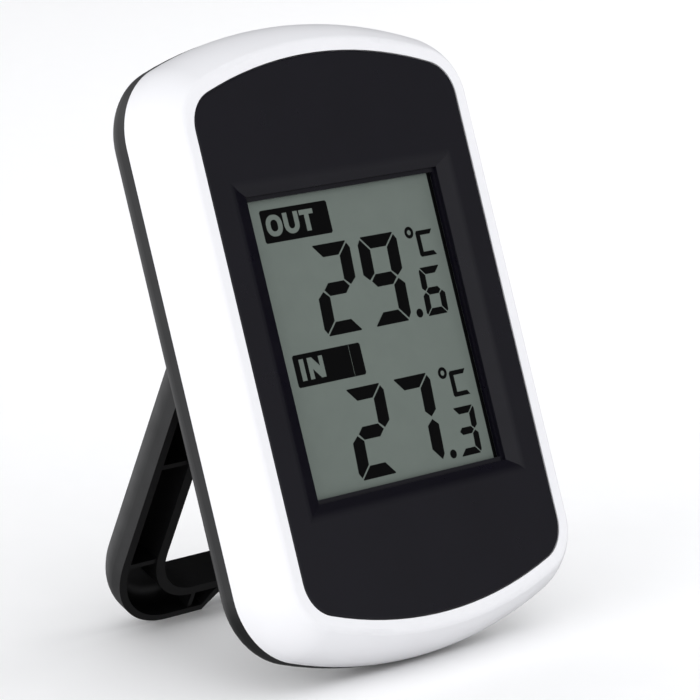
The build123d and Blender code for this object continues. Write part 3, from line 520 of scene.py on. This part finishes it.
# Dark strips down both edges of the film, from the edge of its grey-green area to the foot of the window's
# walls.
BORDER_INNER, BORDER_OUTER, BORDER_HALF_HEIGHT, BORDER_CORNER = 18.05, 18.74, 21.59, 0.01
for side, name in ((-1, "left"), (1, "right")):
    edges = sorted((side * BORDER_INNER, side * BORDER_OUTER))
    border = rounded_box(*edges, -BORDER_HALF_HEIGHT, BORDER_HALF_HEIGHT, BORDER_CORNER)
    display_art(name + "_border", [border])


# ---------------------------------------------------------------- back shell, battery door and leg
# Injection moulded in black ABS with a fine spark-eroded grain. The leg is a channel moulding that
# clicks into two sockets, and the door slides down in its frame.
black_abs = moulded(
    "black_abs", (0.0050, 0.0050, 0.0054), (0.0068, 0.0068, 0.0073), (0.33, 0.42), 0.0003, 0.000004
)
dress(black_abs, "rear_case", "battery_door")
leg_abs = moulded(
    "leg_abs", (0.0036, 0.0036, 0.0039), (0.0050, 0.0050, 0.0054), (0.35, 0.45), 0.0003, 0.000005,
    mottle=0.008
)
dress(leg_abs, "folding_leg")


# ---------------------------------------------------------------- keys
# Three small grey-black keys in the flat of the back, each on the stem of a dome switch on the board.
# Their crowns are printed with plain signs: arrows up and down, a turning arrow, and a degree ring.
key_plastic = moulded(
    "key_plastic", (0.020, 0.020, 0.022), (0.026, 0.026, 0.028), (0.42, 0.52), 0.00018, 0.000005
)
dress(key_plastic, "max_min_button", "reset_button", "unit_button")
stem_plastic = moulded("stem_plastic", (0.12, 0.11, 0.09), (0.15, 0.14, 0.12), (0.4, 0.5), 0.0002, 0.000003)
dress(stem_plastic, "max_min_plunger", "reset_plunger", "unit_plunger")
switch_plastic = moulded(
    "switch_plastic", (0.015, 0.015, 0.016), (0.02, 0.02, 0.021), (0.4, 0.5), 0.0002, 0.000003
)
dress(switch_plastic, "switch_bases")
print_paint = moulded("print_paint", (0.52, 0.52, 0.52), (0.58, 0.58, 0.58), (0.5, 0.6), 0.0001, 0.000002)


def key_sign(node, body, outlines):
    """Printed sign on the crown of a key, read from behind the unit."""
    low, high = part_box(node)
    middle = (low + high) / 2
    depths = [corner.co.dot(BACKWARD) for corner in frame["nodes"][node].data.vertices]
    crown = middle + BACKWARD * (max(depths) - middle.dot(BACKWARD))
    piece = flat_piece(node + "_sign", outlines, print_paint, crown, -SIDEWAYS, UPWARD, INK_THICKNESS)
    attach(piece, body)


def ring_part(radius, width, start, end, steps=24):
    """Outline of part of a ring, between two angles in degrees."""
    turns = [math.radians(start + (end - start) * step / steps) for step in range(steps + 1)]
    far, near = radius + width / 2, radius - width / 2
    outer = [(math.cos(turn) * far, math.sin(turn) * far) for turn in turns]
    inner = [(math.cos(turn) * near, math.sin(turn) * near) for turn in turns]
    return outer + inner[::-1]


up_arrow = [(-0.75, 0.25), (0.75, 0.25), (0, 1.35)]
down_arrow = [(-0.75, -0.25), (0, -1.35), (0.75, -0.25)]
key_sign("max_min_button", "max_min_key", [up_arrow, down_arrow])
arrow_head = [(0.45, 0.15), (1.75, 0.15), (1.1, 0.95)]
key_sign("reset_button", "reset_key", [ring_part(1.05, 0.3, 60, 350), arrow_head])
key_sign("unit_button", "unit_key", [circle(0, 0, 0.95), circle(0, 0, 0.6)])


# ---------------------------------------------------------------- screws
# Small zinc-plated steel screws with cross recesses. The plating is slightly cloudy and the heads
# carry fine scratches from the driver.
zinc_plate = material("zinc_plate", (0.62, 0.62, 0.60), 0.3, metal=1.0)
mottled(zinc_plate, 0.0012, (0.55, 0.55, 0.52), (0.66, 0.66, 0.66))
gloss(zinc_plate, clouds(zinc_plate, 0.0006), 0.22, 0.4)
emboss(zinc_plate, clouds(zinc_plate, 0.0002, stretch=(1, 0.15, 1)), 0.000003)
dress(zinc_plate, "upper_case_screws", "lower_case_screws", "board_screws")


# ---------------------------------------------------------------- cells and contacts
# Two AAA cells, side by side and turned opposite ways, in plain blue and white sleeves with bare
# ends. Nickel-plated spring wire and strip contacts press on them from both ends of the bay.
CELL_SLEEVE_HALF = 21.6 * MM    # beyond this from a cell's middle its ends are bare
BAND_START, BAND_END = 10.0 * MM, 13.0 * MM
SLEEVE_BLUE, SLEEVE_WHITE = (0.02, 0.05, 0.16), (0.72, 0.73, 0.72)
for node in ("left_cell", "right_cell"):
    low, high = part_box(node)
    middle = ((low + high) / 2).dot(UPWARD)
    sleeve = material(node + "_sleeve", SLEEVE_BLUE, 0.3)
    tree = sleeve.node_tree
    reach = combine(tree, "SUBTRACT", along(tree, UPWARD), middle)
    past_start = combine(tree, "GREATER_THAN", reach, BAND_START)
    before_end = combine(tree, "LESS_THAN", reach, BAND_END)
    band = combine(tree, "MULTIPLY", past_start, before_end)
    tint(sleeve, band, SLEEVE_BLUE, SLEEVE_WHITE)
    end_rise = combine(tree, "GREATER_THAN", reach, CELL_SLEEVE_HALF)
    end_drop = combine(tree, "LESS_THAN", reach, -CELL_SLEEVE_HALF)
    bare = combine(tree, "ADD", end_rise, end_drop)
    tree.links.new(bare, tree.nodes["Principled BSDF"].inputs["Metallic"])
    gloss(sleeve, clouds(sleeve, 0.002), 0.22, 0.34)
    emboss(sleeve, clouds(sleeve, 0.0008), 0.000004)
    dress(sleeve, node)

nickel = material("nickel_plate", (0.66, 0.63, 0.57), 0.25, metal=1.0)
mottled(nickel, 0.001, (0.60, 0.57, 0.51), (0.70, 0.67, 0.62))
gloss(nickel, clouds(nickel, 0.0005), 0.18, 0.34)
emboss(nickel, clouds(nickel, 0.00015, stretch=(1, 1, 0.1)), 0.000002)
dress(nickel, "positive_contact", "negative_contact", "link_contact", "quartz_crystal")


# ---------------------------------------------------------------- boards and what is on them
# Glass-fibre boards with green solder mask over copper tracks, which show through as paler lines.
# The clock chip is under a blob of black epoxy, and small parts are soldered round it.
TRACK_PITCH = 0.0016
TRACK_SHARE = 0.3
TRACK_WANDER = 1.5
BARE_GREEN, TRACK_GREEN = (0.006, 0.05, 0.018), (0.014, 0.11, 0.035)
board = material("solder_mask", BARE_GREEN, 0.3)
tree = board.node_tree
tracks = []
for direction in (SIDEWAYS, UPWARD):
    lanes = combine(tree, "MULTIPLY", along(tree, direction), 1 / TRACK_PITCH)
    drift = clouds(board, 0.006, detail=1.0)
    wander = spread(tree, drift, CLOUD_LOW, CLOUD_HIGH, -TRACK_WANDER, TRACK_WANDER)
    place_in_lane = combine(tree, "FRACT", combine(tree, "ADD", lanes, wander), 0.0)
    tracks.append(combine(tree, "LESS_THAN", place_in_lane, TRACK_SHARE))
track = combine(tree, "MAXIMUM", *tracks)
tint(board, track, BARE_GREEN, TRACK_GREEN)
gloss(board, clouds(board, 0.001), 0.25, 0.4)
emboss(board, track, 0.00003)
dress(board, "main_board", "receiver_board")

epoxy = moulded("black_epoxy", (0.006, 0.006, 0.006), (0.01, 0.01, 0.01), (0.12, 0.25), 0.0015, 0.00003)
dress(epoxy, "chip_blob", "thermistor")
ceramic = moulded("resistor_ceramic", (0.03, 0.03, 0.035), (0.05, 0.05, 0.055), (0.35, 0.5), 0.0002, 0.000004)
dress(ceramic, "chip_resistors")
capacitor_sleeve = moulded(
    "capacitor_sleeve", (0.01, 0.015, 0.05), (0.015, 0.02, 0.07), (0.25, 0.35), 0.0008, 0.00001
)
dress(capacitor_sleeve, "capacitor")
header_plastic = moulded(
    "header_plastic", (0.01, 0.01, 0.01), (0.016, 0.016, 0.016), (0.4, 0.5), 0.0003, 0.000005
)
dress(header_plastic, "receiver_header")


# ---------------------------------------------------------------- display holder and its connector
# A natural polystyrene frame, staked over at four pegs, presses the glass forward. The connector is
# a strip of silicone rubber with fine black conducting layers across it.
natural_plastic = moulded(
    "natural_plastic", (0.62, 0.60, 0.53), (0.68, 0.66, 0.60), (0.4, 0.5), 0.0004, 0.000006
)
dress(natural_plastic, "display_holder")

LAYER_PITCH = 0.0004
LAYER_SHARE = 0.5
striped_rubber = material("striped_rubber", (0.55, 0.5, 0.42), 0.6)
tree = striped_rubber.node_tree
layers = combine(tree, "FRACT", combine(tree, "MULTIPLY", along(tree, SIDEWAYS), 1 / LAYER_PITCH), 0.0)
dark_layer = combine(tree, "LESS_THAN", layers, LAYER_SHARE)
tint(striped_rubber, dark_layer, (0.60, 0.55, 0.46), (0.02, 0.02, 0.02))
gloss(striped_rubber, clouds(striped_rubber, 0.001), 0.5, 0.65)
emboss(striped_rubber, clouds(striped_rubber, 0.0005), 0.00001)
dress(striped_rubber, "zebra_connector")


# ---------------------------------------------------------------- wires
# Thin stranded wires in PVC: red and black from the contacts to the board, and a grey one up the
# inside of the shell as the receiver's antenna.
for node, dark, light in (
    ("red_wire", (0.32, 0.012, 0.01), (0.40, 0.02, 0.015)),
    ("black_wire", (0.008, 0.008, 0.008), (0.014, 0.014, 0.014)),
    ("antenna_wire", (0.24, 0.24, 0.25), (0.30, 0.30, 0.31)),
):
    dress(moulded(node + "_pvc", dark, light, (0.3, 0.42), 0.0006, 0.00001, mottle=0.004), node)
